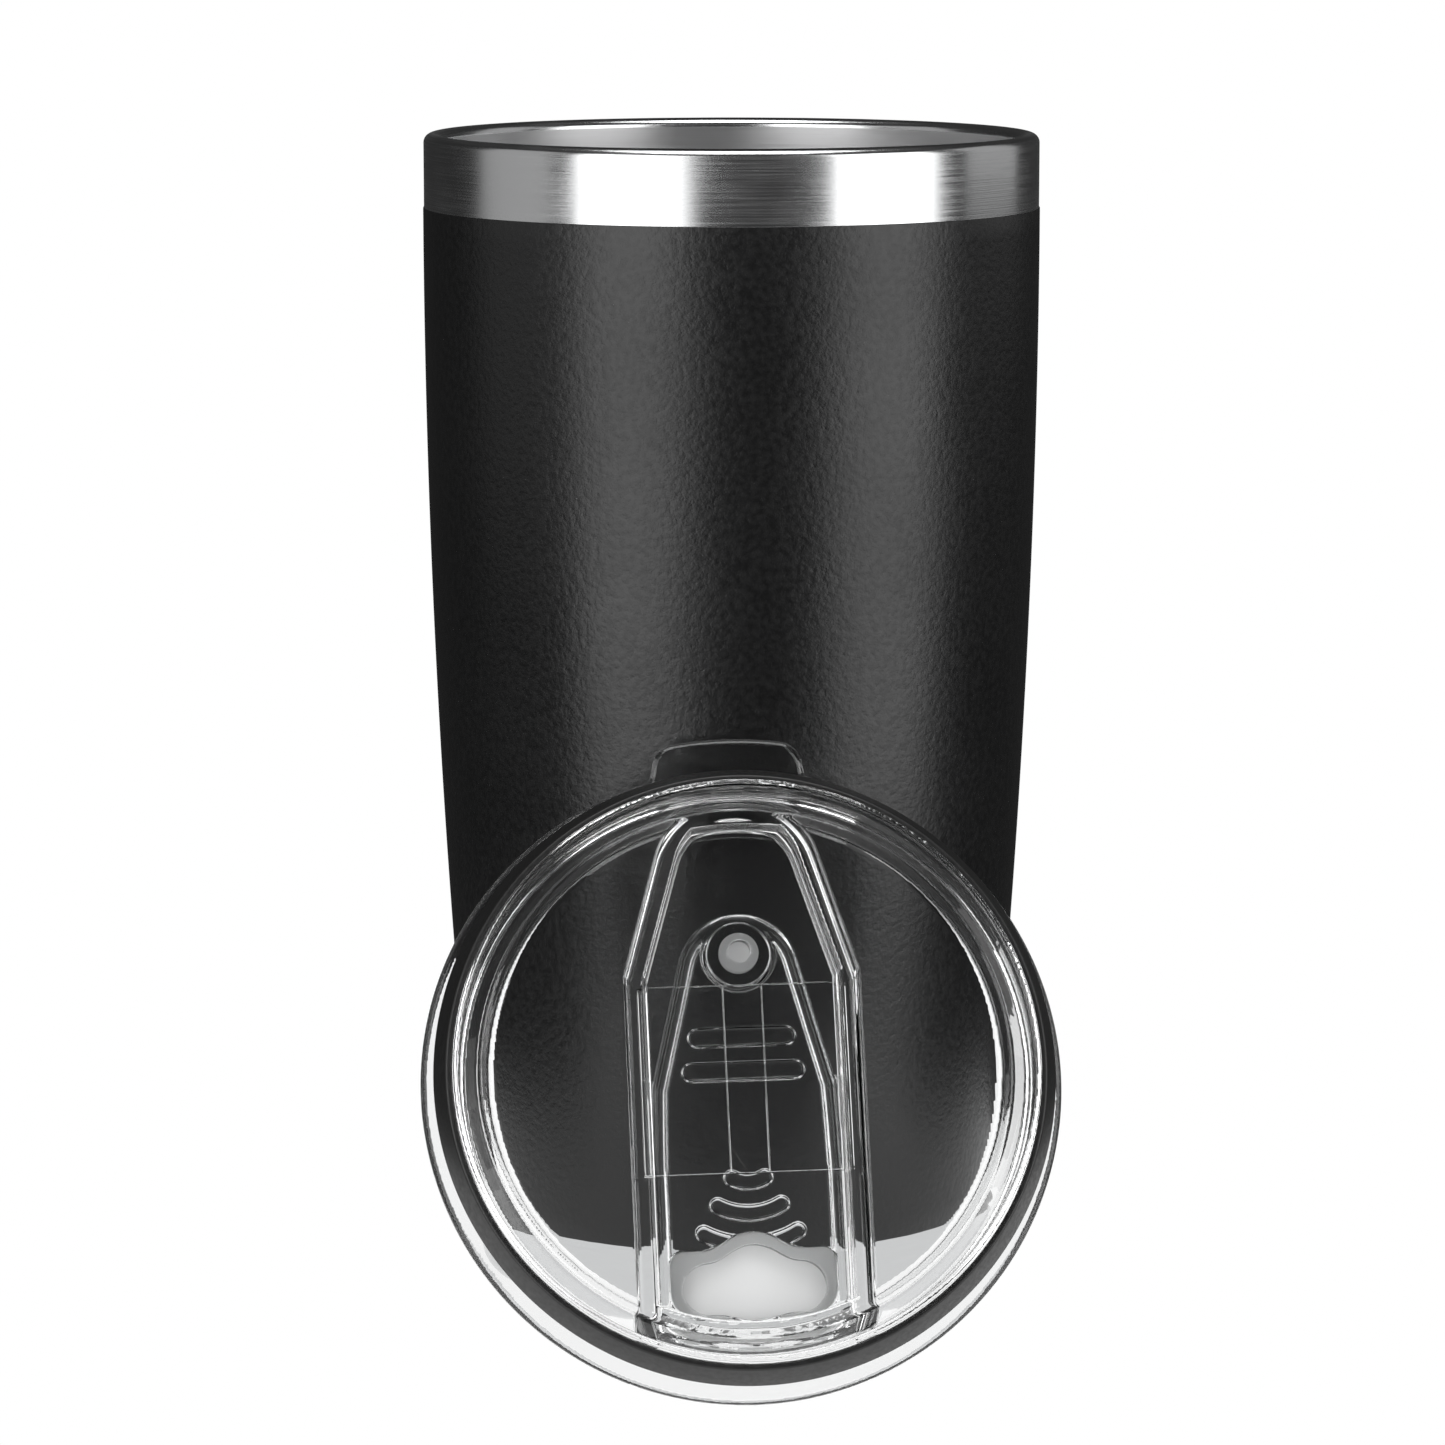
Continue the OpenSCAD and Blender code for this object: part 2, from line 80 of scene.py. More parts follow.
def new_object(name, bm, body, material, matrix=None):
    """Turns a bmesh into a smooth-shaded object that rides on a body."""
    mesh = bpy.data.meshes.new(name)
    bmesh.ops.recalc_face_normals(bm, faces=bm.faces)
    for face in bm.faces:
        face.smooth = True
    bm.to_mesh(mesh)
    bm.free()
    if matrix is not None:
        mesh.transform(matrix)
    mesh.set_sharp_from_angle(angle=SHARP)
    obj = bpy.data.objects.new(name, mesh)
    bpy.context.collection.objects.link(obj)
    mesh.materials.append(material)
    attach(obj, body)
    return obj


def lathe(outline, segments=SEGMENTS):
    """Revolves a closed outline of (radius, height) millimetres round Z, with UVs in metres."""
    bm = bmesh.new()
    uv = bm.loops.layers.uv.new("UVMap")
    rings = []
    for r, z in outline:
        if r < 1e-6:
            rings.append([bm.verts.new((0, 0, z * MM))])
        else:
            rings.append([
                bm.verts.new((r * MM * math.cos(2 * math.pi * k / segments),
                              r * MM * math.sin(2 * math.pi * k / segments), z * MM))
                for k in range(segments)])
    length, run = [0.0], 0.0
    for p, q in zip(outline, outline[1:] + outline[:1]):
        run += math.dist(p, q) * MM
        length.append(run)
    around = 2 * math.pi * max(r for r, _ in outline) * MM
    for i in range(len(outline)):
        a, b = rings[i], rings[(i + 1) % len(outline)]
        if len(a) == 1 and len(b) == 1:
            continue
        for k in range(segments):
            n = (k + 1) % segments
            if len(a) == 1:
                corners = [(a[0], k, i), (b[n], k + 1, i + 1), (b[k], k, i + 1)]
            elif len(b) == 1:
                corners = [(a[k], k, i), (a[n], k + 1, i), (b[0], k, i + 1)]
            else:
                corners = [(a[k], k, i), (a[n], k + 1, i), (b[n], k + 1, i + 1), (b[k], k, i + 1)]
            face = bm.faces.new([c[0] for c in corners])
            for loop, (_, u, v) in zip(face.loops, corners):
                loop[uv].uv = (around * u / segments, length[v])
    return bm


# ---- Materials ----

def material(name):
    """A new material, its node tree and its shader."""
    mat = bpy.data.materials.new(name)
    mat.use_nodes = True
    tree = mat.node_tree
    return mat, tree, tree.nodes["Principled BSDF"]


def add(tree, kind, inputs=None, **settings):
    """Adds a node: inputs are values or sockets to link, and settings are its own properties."""
    node = tree.nodes.new(kind)
    for key, value in settings.items():
        setattr(node, key, value)
    for key, value in (inputs or {}).items():
        if isinstance(value, bpy.types.NodeSocket):
            tree.links.new(value, node.inputs[key])
        else:
            node.inputs[key].default_value = value
    return node


def ramp(tree, fac, low, high, low_at=0.3, high_at=0.7):
    """Maps a value onto a range of another, clamped at both ends."""
    node = add(tree, "ShaderNodeMapRange", {"Value": fac, "From Min": low_at, "From Max": high_at,
                                            "To Min": low, "To Max": high})
    return node.outputs["Result"]


def noise(tree, scale, detail, roughness=0.5, vector=None):
    """Noise in object space, or over a vector that is given."""
    if vector is None:
        vector = add(tree, "ShaderNodeTexCoord").outputs["Object"]
    node = add(tree, "ShaderNodeTexNoise", {"Vector": vector, "Scale": scale, "Detail": detail,
                                            "Roughness": roughness})
    return node.outputs["Fac"]


def blend(tree, fac, first, second):
    """A colour that runs from one to another."""
    node = add(tree, "ShaderNodeMix", {"Factor": fac}, data_type="RGBA")
    node.inputs[6].default_value = (*first, 1)
    node.inputs[7].default_value = (*second, 1)
    return node.outputs[2]


def relief(tree, height, strength, distance):
    """Normals of a bump whose full height is a distance in metres."""
    bump = add(tree, "ShaderNodeBump", {"Height": height, "Strength": strength, "Distance": distance})
    return bump.outputs["Normal"]


def cloudy(tree, rough, scale):
    """A roughness with slow patches added to it."""
    patches = ramp(tree, noise(tree, scale, 3.0), -0.03, 0.03)
    return add(tree, "ShaderNodeMath", {0: rough, 1: patches}, operation="ADD").outputs[0]


def wire(tree, shader, **sockets):
    """Links outputs to the shader's sockets. An underscore in a name stands for a space."""
    for name, output in sockets.items():
        tree.links.new(output, shader.inputs[name.replace("_", " ")])


def steel(name, colour, rough, brush, spread, aniso=0.0):
    """Steel with fine lines round the axis. brush is their depth, and spread how far they vary the gloss."""
    mat, tree, shader = material(name)
    uv = add(tree, "ShaderNodeUVMap", uv_map="UVMap")
    stretched = add(tree, "ShaderNodeMapping", {"Vector": uv.outputs["UV"], "Scale": (60.0, 5200.0, 1.0)})
    lines = noise(tree, 1.0, 3.0, 0.6, stretched.outputs["Vector"])
    wire(tree, shader,
         Roughness=cloudy(tree, ramp(tree, lines, rough - spread, rough + spread), 90.0),
         Base_Color=blend(tree, lines, [c * 0.93 for c in colour], [min(1.0, c * 1.05) for c in colour]),
         Normal=relief(tree, lines, brush, 0.00002))
    shader.inputs["Metallic"].default_value = 1.0
    shader.inputs["Anisotropic"].default_value = aniso
    if aniso:
        tangent = add(tree, "ShaderNodeTangent", direction_type="RADIAL", axis="Z")
        tree.links.new(tangent.outputs["Tangent"], shader.inputs["Tangent"])
    return mat


def plain_metal(name, colour, rough, scale):
    """Sheet metal for the parts inside, with a cloudy finish."""
    mat, tree, shader = material(name)
    grain = noise(tree, scale, 5.0)
    wire(tree, shader,
         Roughness=ramp(tree, grain, rough - 0.08, rough + 0.08),
         Base_Color=blend(tree, grain, [c * 0.85 for c in colour], [min(1.0, c * 1.1) for c in colour]),
         Normal=relief(tree, grain, 0.15, 0.00005))
    shader.inputs["Metallic"].default_value = 1.0
    return mat


def powder_coat():
    """Black powder coat: pebbled at about a millimetre, with finer grain on top."""
    mat, tree, shader = material("powder_coat_black")
    pebble = noise(tree, 1150.0, 2.0, 0.45)
    grain = noise(tree, 3600.0, 2.0)
    height = add(tree, "ShaderNodeMath", {0: grain, 1: 0.28, 2: pebble}, operation="MULTIPLY_ADD")
    wire(tree, shader,
         Roughness=cloudy(tree, ramp(tree, pebble, 0.3, 0.38, 0.35, 0.65), 45.0),
         Base_Color=blend(tree, pebble, (0.003, 0.003, 0.0032), (0.009, 0.009, 0.0092)),
         Normal=relief(tree, height.outputs[0], 0.55, 0.00012))
    return mat


def clear_plastic(name, tint, rough, wave):
    """Clear moulded plastic with a faint waviness from the mould."""
    mat, tree, shader = material(name)
    slow = noise(tree, 160.0, 2.0)
    wire(tree, shader,
         Roughness=ramp(tree, noise(tree, 900.0, 4.0), rough * 0.5, rough * 1.6),
         Base_Color=blend(tree, slow, [c * 0.985 for c in tint], tint),
         Normal=relief(tree, slow, wave, 0.0002))
    shader.inputs["Transmission Weight"].default_value = 1.0
    shader.inputs["IOR"].default_value = 1.5
    return mat


def silicone(name, dark, light, rough, subsurface):
    """Soft moulded silicone with a fine satin grain."""
    mat, tree, shader = material(name)
    grain = noise(tree, 1400.0, 3.0)
    wire(tree, shader,
         Roughness=ramp(tree, grain, rough - 0.06, rough + 0.06, 0.35, 0.65),
         Base_Color=blend(tree, noise(tree, 120.0, 2.0), dark, light),
         Normal=relief(tree, grain, 0.2, 0.00003))
    shader.inputs["Subsurface Weight"].default_value = subsurface
    shader.inputs["Subsurface Radius"].default_value = (0.004, 0.004, 0.004)
    shader.inputs["Subsurface Scale"].default_value = 1.0
    return mat


OUTER = steel("steel_outer_brushed", (0.66, 0.665, 0.67), 0.2, 0.25, 0.05, aniso=0.45)
LINER = steel("steel_liner_satin", (0.72, 0.72, 0.725), 0.34, 0.3, 0.06)
COAT = powder_coat()
CLEAR = clear_plastic("plastic_lid_clear", (0.965, 0.97, 0.97), 0.012, 0.05)
SLIDE = clear_plastic("plastic_slider_clear", (0.96, 0.965, 0.965), 0.02, 0.06)
BLACK = silicone("silicone_black", (0.006, 0.006, 0.006), (0.011, 0.011, 0.011), 0.42, 0.0)
MILKY = silicone("silicone_milky", (0.75, 0.755, 0.755), (0.79, 0.795, 0.795), 0.4, 0.9)


# ---- Tumbler: the same section as the CAD, turned finely ----
TOP_R, LIP_R, H = 43.75, 1.3, 164.6
SIDE_R, SHOULDER_Z, CONE_Z = 1526.0, 152.6, 8.0
STEEL_T, COAT_T, COAT_LOW, COAT_TOP = 0.5, 0.12, 10.4, 154.2
MOUTH_R, LINER_SIDE_R, MOUTH_Z, LINER_CONE_Z, FLOOR_Z = 41.15, 1009.0, 144.6, 30.0, 12.0


def side(z, inset=0.0):
    """Radius of the outer side at a level."""
    if z >= SHOULDER_Z:
        return TOP_R - inset
    radius = SIDE_R - inset
    if z >= CONE_Z:
        return TOP_R - SIDE_R + math.sqrt(radius ** 2 - (SHOULDER_Z - z) ** 2)
    slope = (SHOULDER_Z - CONE_Z) / math.sqrt(SIDE_R ** 2 - (SHOULDER_Z - CONE_Z) ** 2)
    return side(CONE_Z, inset) - (CONE_Z - z) * slope


def liner(z, out=0.0):
    """Inside radius of the liner at a level."""
    if z >= MOUTH_Z:
        return MOUTH_R + out
    radius = LINER_SIDE_R + out
    if z >= LINER_CONE_Z:
        return MOUTH_R - LINER_SIDE_R + math.sqrt(radius ** 2 - (MOUTH_Z - z) ** 2)
    slope = (MOUTH_Z - LINER_CONE_Z) / math.sqrt(LINER_SIDE_R ** 2 - (MOUTH_Z - LINER_CONE_Z) ** 2)
    return liner(LINER_CONE_Z, out) - (LINER_CONE_Z - z) * slope


def levels(low, high, step):
    """Evenly spaced levels from low to high, about a step apart."""
    count = max(1, round((high - low) / step))
    return [low + (high - low) * k / count for k in range(count + 1)]


def foot(inset, z):
    """Corner between the side and the flat of the foot, rounded."""
    bend = 3.0 - inset
    return rounded([(29.0, z), (side(z, inset), z), (side(9.0, inset), 9.0)], [0, bend, 0], steps=10)


def wall_outline():
    """Section of the outer wall, with the lip rolled over to the inside."""
    outer = foot(0.0, 0.0)[:-1] + [(side(z), z) for z in levels(9.0, H - LIP_R, 4.0)]
    lip = arc((TOP_R - LIP_R, H - LIP_R), LIP_R, 0, 180, 24)[1:]
    lip_in = arc((TOP_R - LIP_R, H - LIP_R), LIP_R - STEEL_T, 180, 0, 16)
    inner = [(side(z, STEEL_T), z) for z in reversed(levels(9.0, H - LIP_R, 8.0))][1:]
    return outer + lip + lip_in + inner[:-1] + list(reversed(foot(STEEL_T, STEEL_T)))


def liner_outline():
    """Section of the inner wall, up to the lip."""
    def shell(out, floor):
        bend = 7.0 + out
        side_pts = [(liner(z, out), z) for z in reversed(levels(24.0, H - LIP_R, 6.0))]
        turn = [(liner(24.0, out), 24.0), (liner(floor, out), floor), (0.0, floor)]
        return side_pts[:-1] + rounded(turn, [0, bend, 0], steps=14)
    return shell(0.0, FLOOR_Z) + list(reversed(shell(STEEL_T, FLOOR_Z - STEEL_T)))


def coat_outline():
    """Section of the powder coat, thin at both edges and sunk a little into the steel."""
    edge, sunk = 0.18, 0.1
    out = [(side(COAT_LOW), COAT_LOW), (side(COAT_LOW) + COAT_T * 0.7, COAT_LOW + 0.05)]
    out += [(side(z) + COAT_T, z) for z in levels(COAT_LOW + edge, COAT_TOP - edge, 3.0)]
    out += [(side(COAT_TOP) + COAT_T * 0.7, COAT_TOP - 0.05), (side(COAT_TOP), COAT_TOP)]
    back = [(side(z) - sunk, z) for z in reversed(levels(COAT_LOW, COAT_TOP, 12.0))]
    return out + back


wall = new_object("tumbler_wall", lathe(wall_outline()), "tumbler", OUTER)
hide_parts("outer_shell")
cup = new_object("tumbler_liner", lathe(liner_outline()), "tumbler", LINER)
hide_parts("inner_liner")
coat = new_object("tumbler_coat", lathe(coat_outline()), "tumbler", COAT)
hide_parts("powder_coat")

for node, mat in {
    "outer_base": plain_metal("steel_pan", (0.6, 0.6, 0.61), 0.35, 260.0),
    "base_cap": plain_metal("steel_cap", (0.66, 0.66, 0.67), 0.28, 420.0),
    "vacuum_seal": plain_metal("seal_bead", (0.2, 0.24, 0.21), 0.3, 300.0),
    "copper_foil": plain_metal("foil_copper", (0.86, 0.47, 0.3), 0.25, 500.0),
    "getter": plain_metal("getter_pellet", (0.2, 0.2, 0.21), 0.6, 1500.0),
    "getter_clip": plain_metal("clip_steel", (0.55, 0.55, 0.56), 0.3, 700.0),
}.items():
    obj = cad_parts[node]
    for index in range(len(obj.material_slots)):
        obj.material_slots[index].material = mat


# ---- Lid: drawn with its flange's underside at level 0, then leaned with its underside to the front ----
LEAN, TURN, ROLL = math.radians(22.4), math.radians(3.6), math.radians(1.3)
STAND = (Matrix.Translation((1.4 * MM, -62.4 * MM, 40.5388 * MM)) @ Matrix.Rotation(TURN, 4, "Z")
         @ Matrix.Rotation(math.radians(90) - LEAN, 4, "X") @ Matrix.Rotation(ROLL, 4, "Z")
         @ Matrix.Rotation(math.radians(180), 4, "Y"))

FLANGE_R, FLANGE_T, TAB_R = 43.25, 2.2, 47.65
PLUG_R, GROOVE_R, SKIRT_R, SKIRT_IN_R = 39.9, 38.9, 39.25, 38.15
GROOVE_TOP_Z, GROOVE_LOW_Z, SKIRT_Z = -8.9, -10.9, -12
RECESS_R, FLOOR_R, RECESS_Z, PLATE_Z = 39.4, 34.3, -8.2, -10
CHANNEL_HALF, CHANNEL_WALL, CHANNEL_ARCH_R, CHANNEL_ARCH_Y, HIP_Y = 13.05, 2.3, 8.6, 26.6, 13.4
CHANNEL_TOP_Z, CHANNEL_FLOOR_Z, CHANNEL_UNDER_Z = -0.4, -4.2, -6.0
SLOT_Y, SLOT_HALF = -0.5, 12.7
WELL_Y, VENT_R = 16.9, 1.5
PLATE_LOW_Z, PLATE_TOP_Z, BEAD_TOP_Z, RIDGE_TOP_Z = -3.8, -1.4, -0.2, -0.9
SLIDER_ARCH_R, SLIDER_ARCH_Y, SLIDER_HALF, SLIDER_FRONT_R = 8.2, 14.2, 12.75, 34


def outline_distance(x, y, outline):
    """Distance to a closed outline, negative inside it."""
    shape = np.broadcast(x, y).shape
    best, inside = np.full(shape, 1e12), np.zeros(shape, bool)
    for (ax, ay), (bx, by) in zip(outline, outline[1:] + outline[:1]):
        ex, ey = bx - ax, by - ay
        size = ex * ex + ey * ey
        if size < 1e-14:
            continue
        wx, wy = x - ax, y - ay
        t = np.clip((wx * ex + wy * ey) / size, 0, 1)
        best = np.minimum(best, (wx - ex * t) ** 2 + (wy - ey * t) ** 2)
        if ey:
            inside ^= ((ay <= y) != (by <= y)) & (wx < wy * ex / ey)
    return np.where(inside, -1, 1) * np.sqrt(best)


def join(a, b, soft):
    """Union of two distance fields with a fillet about as wide as soft."""
    h = np.maximum(soft - np.abs(a - b), 0) / soft
    return np.minimum(a, b) - h * h * soft / 4


def meet(a, b, soft):
    """What two distance fields share, with rounded edges."""
    return -join(-a, -b, soft)


def prism(flat, z, low, high, soft):
    """An outline's distance raised between two levels."""
    return meet(flat, np.maximum(low - z, z - high), soft)


def surface(field, low, high, step):
    """Vertices and quads of a field's zero surface, by surface nets on a regular grid."""
    axes = [np.arange(a - step, b + 2 * step, step) for a, b in zip(low, high)]
    x, y, z = axes[0][:, None, None], axes[1][None, :, None], axes[2][None, None, :]
    values = field(x, y, z)
    inside = values < 0
    count = sum(inside[i:i - 1 or None, j:j - 1 or None, k:k - 1 or None].astype(np.int8)
                for i in (0, 1) for j in (0, 1) for k in (0, 1))
    cells = np.argwhere((count > 0) & (count < 8))
    index = np.full(count.shape, -1, np.int64)
    index[tuple(cells.T)] = np.arange(len(cells))
    total, hits = np.zeros((len(cells), 3)), np.zeros(len(cells))
    for axis in range(3):
        for i in (0, 1):
            for j in (0, 1):
                start = np.insert([i, j], axis, 0)
                stop = np.insert([i, j], axis, 1)
                a = values[tuple((cells + start).T)]
                b = values[tuple((cells + stop).T)]
                cross = (a < 0) != (b < 0)
                point = np.repeat(start[None].astype(float), len(cells), 0)
                point[:, axis] = np.where(cross, a / np.where(cross, a - b, 1), 0)
                total += point * cross[:, None]
                hits += cross
    spots = (total / hits[:, None] + cells) * step + [a[0] for a in axes]
    quads = []
    for axis in range(3):
        ahead = np.moveaxis(inside, axis, 0)
        edges = np.argwhere(ahead[1:, 1:-1, 1:-1] != ahead[:-1, 1:-1, 1:-1])
        from_inside = ahead[:-1, 1:-1, 1:-1][tuple(edges.T)]
        lookup = np.moveaxis(index, axis, 0)
        along, across, up = edges.T
        ring = np.stack([lookup[along, across + i, up + j] for i, j in ((0, 0), (1, 0), (1, 1), (0, 1))], 1)
        flip = from_inside if axis != 1 else ~from_inside
        quads.append(np.where(flip[:, None], ring, ring[:, ::-1]))
    return spots, np.concatenate(quads)


def slope(field, points, reach=0.01):
    """Unit gradient of a field at some points."""
    out = np.empty_like(points)
    for axis in range(3):
        ahead, behind = points.copy(), points.copy()
        ahead[:, axis] += reach
        behind[:, axis] -= reach
        out[:, axis] = field(*ahead.T) - field(*behind.T)
    return out / np.maximum(np.linalg.norm(out, axis=1, keepdims=True), 1e-9)


def moulded(name, field, low, high, step, body, mat, node):
    """A part made from its distance field. Flat stretches are merged, and shading follows the field."""
    spots, quads = surface(field, low, high, step)
    mesh = bpy.data.meshes.new(name)
    mesh.from_pydata(spots, [], quads.tolist())
    bm = bmesh.new()
    bm.from_mesh(mesh)
    bmesh.ops.dissolve_limit(bm, angle_limit=FLAT, verts=bm.verts, edges=bm.edges)
    bmesh.ops.triangulate(bm, faces=[f for f in bm.faces if len(f.verts) > 4])
    bm.to_mesh(mesh)
    bm.free()
    at = np.empty(len(mesh.vertices) * 3)
    mesh.vertices.foreach_get("co", at)
    at = at.reshape(-1, 3)
    for _ in range(2):
        at = at - slope(field, at) * field(*at.T)[:, None] * 0.9
    mesh.vertices.foreach_set("co", at.ravel())
    mesh.update()
    corner = np.empty(len(mesh.loops), np.int32)
    mesh.loops.foreach_get("vertex_index", corner)
    sizes, faces = np.empty(len(mesh.polygons), np.int32), np.empty(len(mesh.polygons) * 3)
    mesh.polygons.foreach_get("loop_total", sizes)
    mesh.polygons.foreach_get("normal", faces)
    area = np.empty(len(mesh.polygons))
    mesh.polygons.foreach_get("area", area)
    own = np.repeat(faces.reshape(-1, 3), sizes, 0)
    normals = np.where(np.repeat(area > 6 * step * step, sizes)[:, None], own, slope(field, at)[corner])
    for face in mesh.polygons:
        face.use_smooth = True
    mesh.normals_split_custom_set(normals.tolist())
    mesh.transform(STAND @ Matrix.Scale(MM, 4))
    obj = bpy.data.objects.new(name, mesh)
    bpy.context.collection.objects.link(obj)
    mesh.materials.append(mat)
    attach(obj, body)
    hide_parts(node)


# Section of the lid: flange, plug with the gasket's groove, skirt, sloping recess and floor
SLOPE = (RECESS_R - FLOOR_R) / (FLANGE_T - RECESS_Z)
LID_SECTION = rounded(
    [(-3, PLATE_Z), (36.5 - 1.8 * SLOPE, PLATE_Z),
     (SKIRT_IN_R, RECESS_Z + 1.65 / SLOPE), (SKIRT_IN_R, SKIRT_Z), (SKIRT_R, SKIRT_Z),
     (SKIRT_R, GROOVE_LOW_Z), (GROOVE_R, GROOVE_LOW_Z), (GROOVE_R, GROOVE_TOP_Z),
     (PLUG_R, GROOVE_TOP_Z), (PLUG_R, 0), (FLANGE_R, 0), (FLANGE_R, FLANGE_T), (RECESS_R, FLANGE_T),
     (FLOOR_R, RECESS_Z), (-3, RECESS_Z)],
    [0, 0.9, 0.4, 0.45, 0.5, 0.15, 0.1, 0.1, 0.15, 0.5, 0.9, 0.9, 0.9, 1.3, 0], steps=8)


def channel(grow):
    """Outline of the lid's channel: an arch at the tab's end and sides that spread."""
    hip = Vector((CHANNEL_HALF + grow, HIP_Y))
    centre, r = Vector((0, CHANNEL_ARCH_Y)), CHANNEL_ARCH_R + grow
    away = hip - centre
    lean = math.atan2(away.y, away.x) + math.acos(r / away.length)
    arch = arc(centre, r, math.degrees(lean), 180 - math.degrees(lean), 40)
    return [(-hip.x, -44.0), (hip.x, -44.0), tuple(hip)] + arch + [(-hip.x, hip.y)]


def drink(x, y, grow):
    """Distance to the drink hole's outline: a pill with a bump toward the tab."""
    pill = np.hypot(np.maximum(np.abs(x) - 6.05, 0), y + 28.45) - 3.45 - grow
    bump = np.hypot(x, y + 27.6) - 4.9 - grow
    return join(pill, bump, 2.0)


SEAL_HALF, SEAL_LOW_Y, SEAL_HIGH_Y = 11.2, -32.5, -23.15
SEAL = rounded(
    [(-SEAL_HALF, SEAL_LOW_Y), (SEAL_HALF, SEAL_LOW_Y), (SEAL_HALF, SEAL_HIGH_Y), (-SEAL_HALF, SEAL_HIGH_Y)],
    [4.2, 4.2, 2.0, 2.0], steps=8)


def seal_border(x, y, gap):
    """Distance to the outline of the seal's border, with gap taken off all round."""
    return join(outline_distance(x, y, SEAL), np.hypot(x, y + 26.45) - 5.6, 2.0) + gap


# Finger tab: wide at its root and drawn past its end, which a circle then cuts
TAB = rounded(
    [(13.4, 34), (13.4, 39.9), (10.7, 41.8), (9.3, 49.5),
     (-9.3, 49.5), (-10.7, 41.8), (-13.4, 39.9), (-13.4, 34)],
    [0, 3, 2.2, 0, 0, 2.2, 3, 0], steps=8)
WIDE, NARROW = channel(CHANNEL_WALL), channel(0.0)
table_r, table_z = np.arange(0, 68.0, 0.1), np.arange(-14, 6, 0.1)
SECTION_TABLE = outline_distance(table_r[:, None], table_z[None, :], LID_SECTION)


def section(rho, z):
    """The lid's section. A whole grid is read from a table, and single points are worked out."""
    shape = np.broadcast(rho, z).shape
    if len(shape) == 1:
        return outline_distance(rho, z, LID_SECTION)
    u, v = rho / 0.1, (z + 14) / 0.1
    i, j = np.floor(u).astype(int), np.floor(v).astype(int)
    u, v = u - i, v - j
    return ((SECTION_TABLE[i, j] * (1 - u) + SECTION_TABLE[i + 1, j] * u) * (1 - v)
            + (SECTION_TABLE[i, j + 1] * (1 - u) + SECTION_TABLE[i + 1, j + 1] * u) * v)


def lid_field(x, y, z):
    """Distance to the lid: its turned section, tab and channel, less the slots and holes."""
    rho, side = np.hypot(x, y), np.abs(x)
    wide, narrow = outline_distance(x, y, WIDE), outline_distance(x, y, NARROW)
    tab = np.maximum(meet(outline_distance(x, y, TAB), rho - TAB_R, 2.4), RECESS_R + 1.5 - rho)
    body = join(section(rho, z), prism(tab, z, 0.0, FLANGE_T, 1.0), 0.5)
    cone = (rho - FLOOR_R - (z - RECESS_Z) * SLOPE) * 0.9
    body = join(body, np.maximum(prism(wide, z, -9.6, CHANNEL_TOP_Z, 0.9), cone - 0.9), 0.7)
    body = meet(body, -meet(np.maximum(narrow, cone), CHANNEL_FLOOR_Z - z, 0.7), 0.5)
    body = meet(body, -meet(np.maximum(narrow, rho - 33.4), z - CHANNEL_UNDER_Z, 0.7), 0.4)
    across = np.maximum(12 - side, side - 14.05)
    slot = np.maximum(across, np.maximum(np.abs(y - SLOT_Y) - SLOT_HALF, np.abs(z + 2.8) - 0.6))
    body = meet(body, -slot, 0.15)
    body = meet(body, -drink(x, y, 0.0), 0.3)
    return meet(body, VENT_R - np.hypot(x, y - WELL_Y), 0.3)


def slider_outline():
    """Outline of the slider, drawn shut: an arch at the tab's end, a waist and a curved front."""
    waist, hip = Vector((12.3, -1.0)), Vector((SLIDER_HALF, -12.0))
    centre, r = Vector((0, SLIDER_ARCH_Y)), SLIDER_ARCH_R
    away = waist - centre
    lean = math.atan2(away.y, away.x) + math.acos(r / away.length)
    arch = arc(centre, r, math.degrees(lean), 180 - math.degrees(lean), 40)
    low = math.degrees(math.acos(hip.x / SLIDER_FRONT_R))
    front = arc((0, 0), SLIDER_FRONT_R, 180 + low, 360 - low, 24)
    return front + [tuple(hip), tuple(waist)] + arch + [(-waist.x, waist.y), (-hip.x, hip.y)]


SLIDER = slider_outline()


def ridges(x, y, z):
    """Distance to the slider's low ridges: two straight bars and three curved ones."""
    flats = []
    for bar_y, long in ((5.75, 14.6), (1.1, 16.6)):
        flats.append(np.hypot(np.maximum(np.abs(x) - long / 2 + 1.3, 0), y - bar_y) - 1.3)
    qx, qy = np.abs(x), y + 9.3
    turn = math.radians(29)
    for r in (4.6, 8.8, 13.0):
        end = np.hypot(qx - r * math.sin(turn), qy + r * math.cos(turn))
        ring = np.abs(np.hypot(qx, qy) - r)
        flats.append(np.where(np.arctan2(qx, -qy) < turn, ring, end) - 1.1)
    return [prism(flat, z, -2.5, RIDGE_TOP_Z, 0.6) for flat in flats]


def slider_field(x, y, z):
    """Distance to the slider: plate, bead, ridges, thumb well and runners, less the seals' seats."""
    side, well = np.abs(x), np.hypot(x, y - WELL_Y)
    flat = meet(outline_distance(x, y, SLIDER), side - SLIDER_HALF, 0.4)
    body = prism(flat, z, PLATE_LOW_Z, PLATE_TOP_Z, 0.5)
    body = join(body, prism(np.abs(flat + 0.9) - 0.9, z, -2.5, BEAD_TOP_Z, 1.1), 0.5)
    for ridge in ridges(x, y, z):
        body = join(body, ridge, 0.2)
    body = join(body, prism(well - 4.9, z, PLATE_LOW_Z, BEAD_TOP_Z, 0.5), 0.4)
    body = meet(body, -meet(well - 4.45, -2.8 - z, 0.4), 0.4)
    body = meet(body, VENT_R - well, 0.2)
    body = meet(body, -drink(x, y, 0.0), 0.25)
    body = meet(body, -np.maximum(seal_border(x, y, 0.0), z + 2.6), 0.15)
    across = np.maximum(11.5 - side, side - 13.9)
    runner = np.maximum(across, np.maximum(np.abs(y + 6.5) - 6.5, np.abs(z + 2.8) - 0.5))
    return join(body, runner + 0.05, 0.2)


